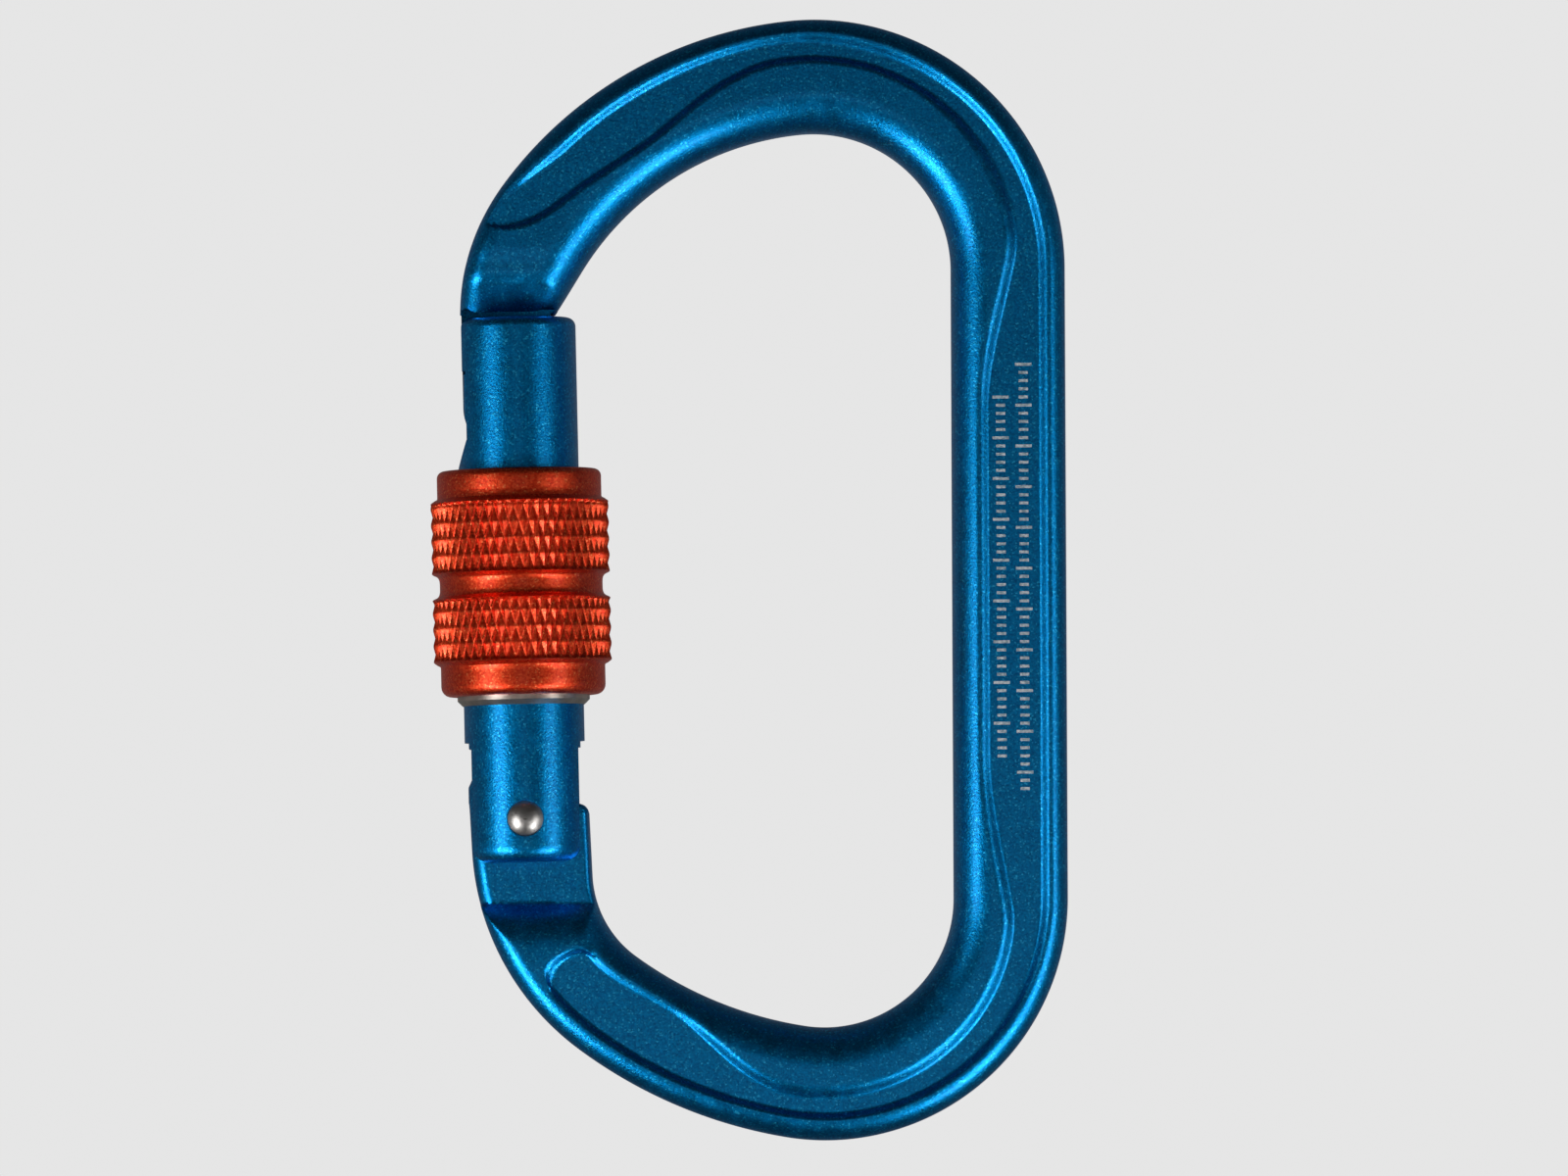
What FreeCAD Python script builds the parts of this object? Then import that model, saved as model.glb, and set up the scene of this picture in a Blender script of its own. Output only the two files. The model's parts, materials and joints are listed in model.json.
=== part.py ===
import FreeCAD, Part
import math
import os

import Sketcher
from FreeCAD import Placement, Rotation, Vector

# Locking carabiner with a screw sleeve, in millimetres.
# The frame lies in the XZ plane with its spine on the +X side and the gate on the -X side, +Z up.
# The origin is the highest point of the inner edge, where a sling or rope bears in the top bow.
# What the gate carries is built in the gate's own frame: origin on the rivet's axis, +Z along the
# gate. It is then set at the hinge with the gate's small lean.

SIZES = [
    # the C-shaped bar
    ("bar_width", 11.18, "width of the bar, across the inner and outer edges"),
    ("bar_depth", 9.6, "thickness of the bar, front to back"),
    ("inner_round", 3.9, "radius of the rope-bearing inner edges"),
    ("outer_round", 2.2, "radius of the outer edges"),
    ("spine_low", 75.2, "how far below the origin the spine's straight ends"),
    ("top_outer_bend", 24.58, "outer edge: radius of the bow at the top of the spine"),
    ("top_outer_crown", 39.76, "outer edge: radius of the flatter top arm"),
    ("top_outer_shoulder", 22.06, "outer edge: radius down to the nose"),
    ("top_inner_bend", 13.52, "inner edge: radius of the top bow"),
    ("top_inner_crown", 28.4, "inner edge: radius of the top arm"),
    ("low_outer_bend", 23.77, "outer edge: radius of the bow at the foot of the spine"),
    ("low_outer_crown", 47.0, "outer edge: radius of the flatter bottom arm"),
    ("low_outer_shoulder", 26.02, "outer edge: radius up to the hinge"),
    ("low_inner_bend", 12.68, "inner edge: radius of the bottom bow"),
    ("low_inner_crown", 38.1, "inner edge: radius of the bottom arm"),
    ("low_inner_shoulder", 10.4, "inner edge: radius up to the hinge"),
    # the recessed panels in the two faces
    ("panel_sunk", 0.7, "depth of the recessed panels"),
    ("panel_rim", 2.3, "width of the rim outside the panel"),
    ("panel_wide", 7.9, "panel's inner line, from the outer edge, along the spine"),
    # hinge end
    ("hinge_x", -28.4, "rivet axis"),
    ("hinge_z", -67.34, "rivet axis"),
    ("tongue_depth", 5.0, "thickness of the tongue in the gate's fork"),
    ("cam_height", 4.6, "flat top of the tongue above the rivet axis"),
    ("foot_z", -75.7, "foot of the recess beside the tongue"),
    ("foot_round", 6.0, "radius of the ramp from the recess to the full bar"),
    ("end_reach", 12.0, "reach of the cutters at the bar's two ends, either side of the rivet axis"),
    # nose
    ("neck_depth", 4.4, "thickness of the nose's neck"),
    ("neck_z", -17.75, "underside of the frame above the gate's end"),
    ("scoop_z", -9.4, "where the faces begin to dip towards the neck"),
    ("flange_depth", 5.6, "thickness of the nose's flange"),
    ("flange_low", 38.0, "lower face of the flange, as a radius about the rivet"),
    ("flange_high", 44.0, "upper face of the flange, as a radius about the rivet"),
    ("nose_side", 5.27, "flat outer side of the nose, from the gate's axis"),
    ("neck_reach", 3.5, "inner side of the neck, from the gate's axis"),
    ("flange_reach", 2.2, "inner side of the flange, from the gate's axis"),
    ("neck_lap", 2.0, "how far the neck laps into the flange and into the bar"),
    ("nose_sunk", 0.1, "how far the nose lies under the gate's round"),
    ("nose_gap", 0.35, "clearance round the nose in the gate"),
    # gate
    ("gate_lean", 1.05, "degrees that the gate leans out from the spine"),
    ("gate_dia", 11.8, "gate's diameter"),
    ("gate_low", 4.25, "fork's end below the rivet axis"),
    ("gate_high", 49.25, "gate's upper end above the rivet axis"),
    ("gate_crown", 0.9, "radius round the gate's upper end"),
    ("fork_crown", 1.5, "radius round the fork's lower end"),
    ("gate_flats", 10.9, "width over the side flats at the hinge"),
    ("flats_high", 7.6, "where the side flats run out, above the rivet axis"),
    ("fork_gap", 5.5, "width of the slot between the fork's cheeks"),
    ("fork_high", 7.0, "slot's end above the rivet axis"),
    ("bore_dia", 4.6, "bore for the spring and plunger"),
    ("bore_high", 24.0, "bore's end above the rivet axis"),
    ("notch_low", 34.6, "foot of the bevel below the nose's pocket, above the rivet axis"),
    ("notch_slope", 18, "degrees that the bevel leans in from the gate's side"),
    ("bevel_wide", 3.0, "width of the block that cuts the bevel"),
    ("bevel_long", 7.0, "length of the block that cuts the bevel"),
    ("bevel_under", 1.0, "how far that block begins below the bevel's foot"),
    # two-start thread between the gate and the sleeve
    ("thread_lead", 3.0, "rise for each turn of the sleeve"),
    ("thread_deep", 0.5, "depth of the gate's grooves"),
    ("thread_root", 0.5, "width of the gate's grooves at their floor"),
    ("thread_mouth", 1.1, "width of the grooves at the gate's surface"),
    ("thread_slack", 0.15, "clearance between the sleeve's ridges and the grooves' floor"),
    ("thread_side", 0.11, "clearance on each flank of the sleeve's ridges"),
    ("thread_proud", 0.2, "how far the grooves' cutters stand out of the gate"),
    ("ridge_sunk", 0.15, "how far the sleeve's ridges are sunk in its wall"),
    ("ridge_end", 0.6, "plain bore at each end of the sleeve's ridges"),
    ("thread_low", 12.6, "lower end of the gate's thread above the rivet axis"),
    ("thread_high", 32.0, "upper end of the gate's thread above the rivet axis"),
    # sleeve
    ("sleeve_low", 12.15, "sleeve's lower end above the rivet axis, unlocked"),
    ("sleeve_long", 22.2, "sleeve's length"),
    ("sleeve_plain", 16.15, "diameter of the plain end rings"),
    ("sleeve_waist", 16.0, "diameter in the waist between the knurled bands"),
    ("sleeve_knurl", 17.5, "diameter over the knurled bands"),
    ("sleeve_bore", 12.3, "sleeve's bore"),
    ("low_round", 1.0, "radius round the sleeve's lower end"),
    ("high_round", 0.7, "radius round the sleeve's upper end"),
    ("band_bevel", 0.4, "height of the bevels beside the knurled bands"),
    ("waist_round", 0.3, "radius at the foot of the waist's bevels"),
    ("nut_dia", 11.96, "bore at the sleeve's own thread, at its lower end"),
    ("nut_long", 4.5, "length of the sleeve's own thread"),
    # retaining ring in the sleeve's mouth
    ("ring_dia", 13.0, "ring's outer diameter"),
    ("ring_slack", 0.08, "running clearance inside and outside the ring"),
    ("ring_shown", 0.95, "height of the ring below the sleeve"),
    ("ring_held", 1.6, "height of the ring inside the sleeve's mouth"),
    ("ring_bevel", 0.5, "height of the bevel round the ring's lower edge"),
    # rivet, plunger and spring
    ("rivet_dia", 3.0, "rivet's shank"),
    ("rivet_head", 3.5, "diameter of the domed heads"),
    ("rivet_span", 11.2, "length between the heads"),
    ("dome_rise", 0.8, "height of each domed head"),
    ("pin_slack", 0.05, "running clearance of the rivet in the tongue's hole"),
    ("seat_slack", 0.1, "clearance round the heads in the cheeks"),
    ("plunger_dia", 4.4, "plunger's head"),
    ("plunger_stem", 2.4, "plunger's stem, inside the spring"),
    ("seat_gap", 0.05, "clearance at the plunger's tip and at the spring's two ends"),
    ("plunger_long", 3.6, "length of the plunger's head"),
    ("stem_long", 2.5, "length of the plunger's stem"),
    ("plunger_round", 0.5, "radius round the plunger's tip"),
    ("stem_round", 0.3, "radius round the stem's end"),
    ("wire_dia", 0.6, "spring wire"),
    ("coil_dia", 3.7, "spring's mean diameter"),
    ("coil_pitch", 1.7, "rise of each turn of the spring at rest"),
]

# Each edge of the bar turns through these angles, in degrees, from the spine to the gate's side.
TURNS = {
    ("top", "outer"): (95.6, 48.2, 36.0),
    ("top", "inner"): (95.7, 52.6),
    ("low", "outer"): (99.7, 27.2, 50.0),
    ("low", "inner"): (99.1, 27.2, 51.0),
}
LAST_STRAIGHT = {
    ("top", "outer"): 0,
    ("top", "inner"): 5.2,
    ("low", "outer"): 6.3,
    ("low", "inner"): 6.1,
}

# The panel's inner line: (distance along the outer edge from the spine's middle, inset from it).
PANEL_LINES = {
    "top": ((17, 7.9), (36, 4.7), (73, 3.9), (91, 6.5), (96, 6.5), (109, 1.3)),
    "low": ((17, 7.9), (36, 5.3), (72, 4.4), (89, 8.3), (102, 7.4)),
}
PANEL_ENDS = {"top": 104.5, "low": 101.5}

# The sleeve's knurled bands: the lower and upper edge of each, above the sleeve's lower end.
LOW_BAND = (3.5, 9.5)
HIGH_BAND = (12.1, 19.0)

# The tongue's top in the gate's fork, from the rivet's axis: the ends of the flat that the plunger
# bears on, as (x, corner radius), and the lug beside it, as (x, z, corner radius).
TONGUE_CAM = ((-4.3, 1.5), (3.0, 0.8))
TONGUE_LUG = ((4.6, 1.3, 1.0), (5.5, 1.05, 0))

TOUCHING = 1e-6
# How the pad's edges are told apart: the spacing of the points on a chain, how near an edge's middle
# must be to one of them, and the length below which an edge is only a small one at an end.
CHAIN_SPACING, CHAIN_NEAR, SHORT_EDGE = 0.5, 0.3, 4
PANEL_SPACING = 2.0

doc = FreeCAD.newDocument("locking_carabiner")
sizes = doc.addObject("Spreadsheet::Sheet", "sizes")
for row, (alias, value, meaning) in enumerate(SIZES, start=1):
    sizes.set(f"A{row}", alias)
    sizes.set(f"B{row}", str(value))
    sizes.set(f"C{row}", meaning)
    sizes.setAlias(f"B{row}", alias)
doc.recompute()


def cell(alias):
    return float(sizes.get(alias))


def direction(degrees):
    return Vector(math.cos(math.radians(degrees)), math.sin(math.radians(degrees)), 0)


# ---------------------------------------------------------------- outlines


def step_length(size, turn):
    return size * math.radians(abs(turn)) if turn else size


def walk(start, heading, steps, distance):
    """The point and heading at a distance along a chain of tangent lines and arcs. A step is
    (length, 0) for a line or (radius, turn) for an arc; a positive turn goes left."""
    point = Vector(*start, 0)
    for size, turn in steps:
        part = min(distance, step_length(size, turn))
        if turn:
            side = math.copysign(1, turn)
            centre = point + direction(heading + 90 * side) * size
            heading += side * math.degrees(part / size)
            point = centre - direction(heading + 90 * side) * size
        else:
            point = point + direction(heading) * part
        distance -= part
        if distance <= 0:
            break
    return point, heading


def chain_edges(start, heading, steps, aliases):
    """The chain's edges, each with the alias that its radius is bound to."""
    edges, done = [], 0.0
    for (size, turn), alias in zip(steps, aliases):
        length = step_length(size, turn)
        places = [walk(start, heading, steps, done + length * part)[0] for part in (0, 0.5, 1)]
        if turn < 0:
            places.reverse()
        shape = Part.Arc(*places) if turn else Part.LineSegment(places[0], places[2])
        edges.append((shape, alias))
        done += length
    return edges


def rounded(corners):
    """Edges through corners (x, z, radius), each rounded by an arc where its radius isn't 0."""
    points = [Vector(x, z, 0) for x, z, _ in corners]
    edges, here = [], points[0]
    for before, at, after, (_, _, radius) in zip(points, points[1:], points[2:], corners[1:]):
        if not radius:
            edges.append((Part.LineSegment(here, at), None))
            here = at
            continue
        back = (before - at).normalize()
        onward = (after - at).normalize()
        half = back.getAngle(onward) / 2
        start, end = (at + way * (radius / math.tan(half)) for way in (back, onward))
        centre = at + (back + onward).normalize() * (radius / math.sin(half))
        middle = centre + (at - centre).normalize() * radius
        turns_left = onward.cross(back).z > 0
        places = (start, middle, end) if turns_left else (end, middle, start)
        edges.append((Part.LineSegment(here, start), None))
        edges.append((Part.Arc(*places), None))
        here = end
    edges.append((Part.LineSegment(here, points[-1]), None))
    return edges


def closed(corners):
    """The same, as a closed outline that starts at the first corner, which stays sharp."""
    return rounded([*corners, (*corners[0][:2], 0)])


# ---------------------------------------------------------------- document objects


def draw(sketch, edges):
    """Puts the edges in the sketch, joins their ends and binds the named arcs to the sheet."""
    ends = []
    for shape, alias in edges:
        if isinstance(shape, Part.Arc):
            edge = shape.toShape()
            shape = Part.ArcOfCircle(edge.Curve, *edge.ParameterRange)
        index = sketch.addGeometry(shape, False)
        if alias:
            number = sketch.addConstraint(Sketcher.Constraint("Radius", index, cell(alias)))
            sketch.setExpression(f"Constraints[{number}]", f"sizes.{alias}")
        for vertex, place in ((1, shape.StartPoint), (2, shape.EndPoint)):
            for other, other_vertex, other_place in ends:
                if other != index and place.distanceToPoint(other_place) < TOUCHING:
                    touching = (other, other_vertex, index, vertex)
                    sketch.addConstraint(Sketcher.Constraint("Coincident", *touching))
            ends.append((index, vertex, place))


def sketch_in(body, name, plane, edges):
    """A sketch on one of the body's origin planes."""
    support = next(f for f in body.Origin.OriginFeatures if f.Role == plane)
    sketch = body.newObject("Sketcher::SketchObject", name)
    sketch.AttachmentSupport = [(support, "")]
    sketch.MapMode = "FlatFace"
    draw(sketch, edges)
    doc.recompute()
    return sketch


def turned(name, edges):
    """A body turned about its own Z from a closed profile in (radius, height)."""
    body = doc.addObject("PartDesign::Body", f"{name}_body")
    sketch = sketch_in(body, f"{name}_profile", "XZ_Plane", edges)
    revolution = body.newObject("PartDesign::Revolution", f"{name}_turned")
    revolution.Profile = sketch
    revolution.ReferenceAxis = (sketch, ["V_Axis"])
    revolution.Angle = 360
    doc.recompute()
    return body


def primitive(kind, name, placement=None, **bound):
    """A Part primitive whose properties are bound to expressions on the sheet."""
    thing = doc.addObject(f"Part::{kind}", name)
    if placement:
        thing.Placement = placement
    for prop, expression in bound.items():
        thing.setExpression(prop, expression)
    return thing


def combined(kind, name, shapes):
    result = doc.addObject(f"Part::{kind}", name)
    result.Shapes = shapes
    return result


def cut(name, base, tools):
    result = doc.addObject("Part::Cut", name)
    result.Base = base
    result.Tool = combined("MultiFuse", f"{name}_cutters", tools) if len(tools) > 1 else tools[0]
    return result


ALONG_Y = Rotation(Vector(1, 0, 0), -90)


def disc_about_rivet(name, radius, depth):
    """A cylinder on the rivet's axis, in the gate's own frame, centred front to back."""
    disc = primitive("Cylinder", name, Placement(Vector(), ALONG_Y), Radius=radius, Height=depth)
    disc.setExpression("Placement.Base.y", f"-({depth}) / 2")
    return disc


def block(name, left, right, depth, low, high):
    """A box between left and right, low and high, centred front to back."""
    box = primitive("Box", name, Length=f"({right}) - ({left})", Width=depth)
    box.setExpression("Height", f"({high}) - ({low})")
    box.setExpression("Placement.Base.x", left)
    box.setExpression("Placement.Base.y", f"-({depth}) / 2")
    box.setExpression("Placement.Base.z", low)
    return box


def set_at_hinge(piece):
    """Moves a piece from the gate's own frame to the hinge, with the gate's lean."""
    piece.Placement = Placement(Vector(), Rotation(Vector(0, -1, 0), cell("gate_lean")))
    piece.setExpression("Placement.Rotation.Angle", "sizes.gate_lean")
    piece.setExpression("Placement.Base.x", "sizes.hinge_x")
    piece.setExpression("Placement.Base.z", "sizes.hinge_z")
    return piece


# ---------------------------------------------------------------- frame

SPINE_INNER = cell("top_inner_bend")
SPINE_OUTER = SPINE_INNER + cell("bar_width")
SPINE_TOP = -cell("top_inner_bend")
SPINE_LOW = -cell("spine_low")
SPINE_MIDDLE = (SPINE_TOP + SPINE_LOW) / 2
HALF_SPINE = (SPINE_TOP - SPINE_LOW) / 2


def edge_chain(side, edge):
    """Start, heading, steps and aliases of one edge, from the spine's middle to the gate's side."""
    heading, left = (90, 1) if side == "top" else (-90, -1)
    turns = TURNS[side, edge]
    aliases = [f"{side}_{edge}_{part}" for part in ("bend", "crown", "shoulder")[: len(turns)]]
    steps = [(HALF_SPINE, 0)]
    steps += [(cell(alias), left * turn) for alias, turn in zip(aliases, turns)]
    aliases = [None, *aliases]
    if LAST_STRAIGHT[side, edge]:
        steps.append((LAST_STRAIGHT[side, edge], 0))
        aliases.append(None)
    x = SPINE_OUTER if edge == "outer" else SPINE_INNER
    return (x, SPINE_MIDDLE), heading, steps, aliases


def chain_end(side, edge):
    start, heading, steps, _ = edge_chain(side, edge)
    return walk(start, heading, steps, sum(step_length(*step) for step in steps))[0]


def frame_outline():
    """The closed C: both edges, the end above the gate and the tongue in the gate's fork."""
    edges = []
    for side, edge in TURNS:
        edges += chain_edges(*edge_chain(side, edge))
    edges.append((Part.LineSegment(chain_end("top", "outer"), chain_end("top", "inner")), None))
    cam = [(x, cell("cam_height"), radius) for x, radius in TONGUE_CAM]
    hinge_x, hinge_z = cell("hinge_x"), cell("hinge_z")
    tongue = [(hinge_x + x, hinge_z + z, radius) for x, z, radius in (*cam, *TONGUE_LUG)]
    left, right = chain_end("low", "outer"), chain_end("low", "inner")
    return edges + rounded([(left.x, left.y, 0), *tongue, (right.x, right.y, 0)])


def edge_names(shape, side_of_bar):
    """The names of the pad's long face edges that lie on its outer or its inner chains."""
    chain = []
    for side in ("top", "low"):
        start, heading, steps, _ = edge_chain(side, side_of_bar)
        length = sum(step_length(*step) for step in steps)
        count = round(length / CHAIN_SPACING)
        chain += [walk(start, heading, steps, length * n / count)[0] for n in range(count + 1)]
    half = cell("bar_depth") / 2
    names = []
    for number, edge in enumerate(shape.Edges, start=1):
        at = edge.valueAt((edge.FirstParameter + edge.LastParameter) / 2)
        flat = Vector(at.x, at.z, 0)
        on_face = abs(abs(at.y) - half) < TOUCHING and edge.Length > SHORT_EDGE
        if on_face and min(flat.distanceToPoint(point) for point in chain) < CHAIN_NEAR:
            names.append(f"Edge{number}")
    return names


def bar():
    """The bar: its outline padded to full thickness, with the long edges rounded."""
    body = doc.addObject("PartDesign::Body", "bar")
    sketch = sketch_in(body, "bar_outline", "XZ_Plane", frame_outline())
    pad = body.newObject("PartDesign::Pad", "bar_pad")
    pad.Profile = sketch
    pad.SideType = "Symmetric"
    pad.setExpression("Length", "sizes.bar_depth")
    doc.recompute()
    before = pad
    for side_of_bar in ("outer", "inner"):
        fillet = body.newObject("PartDesign::Fillet", f"{side_of_bar}_rounding")
        fillet.Base = (before, edge_names(before.Shape, side_of_bar))
        fillet.setExpression("Radius", f"sizes.{side_of_bar}_round")
        doc.recompute()
        before = fillet
    return body


def smooth_between(knots, at):
    """A value that eases from knot to knot; knots are (place, value) in rising order."""
    for (left, first), (right, second) in zip(knots, knots[1:]):
        if at <= right:
            part = max(0.0, (at - left) / (right - left))
            return first + (second - first) * part * part * (3 - 2 * part)
    return knots[-1][1]


def panel_line(inset_on):
    """A curve beside the whole outer edge, from the hinge end to the nose end; inset_on(side, s)
    is its distance in from the edge, s along the edge from the spine's middle."""
    halves = {}
    for side, inward in (("top", 90), ("low", -90)):
        start, heading, steps, _ = edge_chain(side, "outer")
        count = round(PANEL_ENDS[side] / PANEL_SPACING)
        halves[side] = []
        for number in range(count + 1):
            along = PANEL_ENDS[side] * number / count
            point, way = walk(start, heading, steps, along)
            halves[side].append(point + direction(way + inward) * inset_on(side, along))
    curve = Part.BSplineCurve()
    curve.interpolate(halves["low"][:0:-1] + halves["top"])
    return curve


def panel_cutter():
    """The recess in both faces. Its outer line follows the rim. Its inner line leaves the bar's
    full round section free where ropes bear, so the panel is narrow there and wide elsewhere."""
    rim, wide, sunk = cell("panel_rim"), cell("panel_wide"), cell("panel_sunk")
    knots = {side: ((0, wide), *line) for side, line in PANEL_LINES.items()}
    inner = panel_line(lambda side, along: smooth_between(knots[side], along))
    outer = panel_line(lambda side, along: rim)
    ends = [
        Part.LineSegment(inner.value(at), outer.value(at_outer))
        for at, at_outer in (
            (inner.FirstParameter, outer.FirstParameter),
            (inner.LastParameter, outer.LastParameter),
        )
    ]
    outline = Part.Wire(Part.__sortEdges__([c.toShape() for c in (inner, ends[1], outer, ends[0])]))
    outline.Placement = Placement(Vector(), Rotation(Vector(1, 0, 0), 90))
    face = Part.Face(outline)
    floor = cell("bar_depth") / 2 - sunk
    back = face.translated(Vector(0, floor, 0)).extrude(Vector(0, 3 * sunk, 0))
    front = face.translated(Vector(0, -floor, 0)).extrude(Vector(0, -3 * sunk, 0))
    cutter = doc.addObject("Part::Feature", "panel_cutter")
    cutter.Shape = Part.makeCompound([front, back])
    return cutter


def side_cutter(name, profile):
    """Cutters for both faces at the gate's side: a closed profile in (y, z), for the back, run in x."""
    left, length = cell("hinge_x") - cell("end_reach"), 2 * cell("end_reach")
    body = Part.Face(Part.Wire(Part.__sortEdges__([shape.toShape() for shape, _ in profile])))
    body.Placement = Placement(Vector(left, 0, 0), Rotation(Vector(1, 1, 1), 120))
    back = body.extrude(Vector(length, 0, 0))
    front = back.mirror(Vector(0, 0, 0), Vector(0, 1, 0))
    cutter = doc.addObject("Part::Feature", name)
    cutter.Shape = Part.makeCompound([front, back])
    return cutter


def tongue_cutter():
    """Clears the faces beside the tongue, where the fork's cheeks swing, with a rounded ramp."""
    face, tongue = cell("bar_depth") / 2, cell("tongue_depth") / 2
    radius, foot = cell("foot_round"), cell("foot_z")
    beyond, top = 2 * face, cell("hinge_z") + cell("fork_high")
    rise = math.sqrt(radius**2 - (tongue - face + radius) ** 2)
    half_angle = math.degrees(math.asin(rise / radius)) / 2
    centre = Vector(face - radius, foot - rise, 0)
    start = Vector(tongue, foot, 0)
    middle = centre + direction(half_angle) * radius
    end = Vector(face, foot - rise, 0)
    profile = [(Part.Arc(end, middle, start), None)]
    profile += rounded([
        (end.x, end.y, 0), (beyond, end.y, 0), (beyond, top, 0), (tongue, top, 0), (tongue, foot, 0),
    ])
    return side_cutter("tongue_cutter", profile)


def neck_cutter():
    """Dips both faces in an S from full thickness to the neck above the gate's end."""
    face, neck = cell("bar_depth") / 2, cell("neck_depth") / 2
    high, low = cell("scoop_z"), cell("neck_z")
    fall, depth = high - low, face - neck
    turn = 2 * math.atan(depth / fall)
    radius = fall / (2 * math.sin(turn))
    arcs = []
    for centre, first in (
        (Vector(face - radius, high, 0), 0),
        (Vector(neck + radius, low, 0), 180),
    ):
        places = [
            centre + direction(first - math.degrees(turn) * part) * radius for part in (1, 0.5, 0)
        ]
        arcs.append((Part.Arc(*places), None))
    beyond, under = 2 * face, low - cell("end_reach")
    profile = arcs + rounded([
        (face, high, 0), (beyond, high, 0), (beyond, under, 0), (neck, under, 0), (neck, low, 0),
    ])
    return side_cutter("neck_cutter", profile)


def nose():
    """The neck and flange that the gate's slot takes, with a flat side between the slot's lips."""
    left = "-sizes.nose_side"
    foot, top = "sizes.flange_low + sizes.neck_lap", "sizes.gate_high + sizes.neck_lap"
    neck = block("neck_web", left, "sizes.neck_reach", "sizes.neck_depth", foot, top)
    round_high = disc_about_rivet("flange_high_disc", "sizes.flange_high", "sizes.flange_depth")
    round_low = disc_about_rivet("flange_low_disc", "sizes.flange_low", "2 * sizes.flange_depth")
    span = block(
        "flange_span", left, "sizes.flange_reach", "sizes.flange_depth",
        "sizes.flange_low / 2", "sizes.gate_high",
    )
    flange = cut("flange", combined("MultiCommon", "flange_sector", [round_high, span]), [round_low])
    both = combined("MultiFuse", "neck_and_flange", [neck, flange])
    skin = primitive(
        "Cylinder", "nose_skin",
        Radius="sizes.gate_dia / 2 - sizes.nose_sunk", Height="2 * sizes.gate_high",
    )
    return set_at_hinge(combined("MultiCommon", "nose", [both, skin]))


def frame():
    """The C-shaped bar with its panels, tongue and nose, in one forged and milled piece."""
    through = "2 * sizes.bar_depth"
    trim = block(
        "nose_trim", "sizes.hinge_x - sizes.end_reach", "sizes.hinge_x + sizes.end_reach", through,
        "sizes.neck_z - sizes.end_reach", "sizes.neck_z",
    )
    pin_hole = disc_about_rivet("tongue_hole", "sizes.rivet_dia / 2 + sizes.pin_slack", through)
    set_at_hinge(pin_hole)
    pin_hole.setExpression("Placement.Rotation.Angle", None)
    pin_hole.Placement.Rotation = ALONG_Y
    milled = cut("milled_bar", bar(), [panel_cutter(), tongue_cutter(), neck_cutter(), trim, pin_hole])
    return combined("MultiFuse", "frame", [milled, nose()])


# ---------------------------------------------------------------- gate


def thread_starts(name, floor, top, spare, low, high):
    """The two starts of the thread between low and high, as helical solids of trapezoid section
    from radius floor to radius top. They follow the gate's grooves; spare is taken off each side."""
    lead = cell("thread_lead")
    root, mouth, deep = cell("thread_root"), cell("thread_mouth"), cell("thread_deep")
    core = cell("gate_dia") / 2 - deep
    low_half, top_half = (
        (root + (mouth - root) * (radius - core) / deep) / 2 - spare for radius in (floor, top)
    )
    points = [
        Vector(floor, 0, -low_half),
        Vector(top, 0, -top_half),
        Vector(top, 0, top_half),
        Vector(floor, 0, low_half),
    ]
    starts = []
    for first in (0, 180):
        helix = Part.Wire(Part.makeHelix(lead, high - low, floor))
        start = doc.addObject("Part::Feature", f"{name}_{first}")
        start.Shape = helix.makePipeShell([Part.makePolygon([*points, points[0]])], True, True)
        turn = first + 360 * (low - cell("thread_low")) / lead
        start.Placement = Placement(Vector(0, 0, low), Rotation(Vector(0, 0, 1), turn))
        starts.append(start)
    return starts


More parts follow.
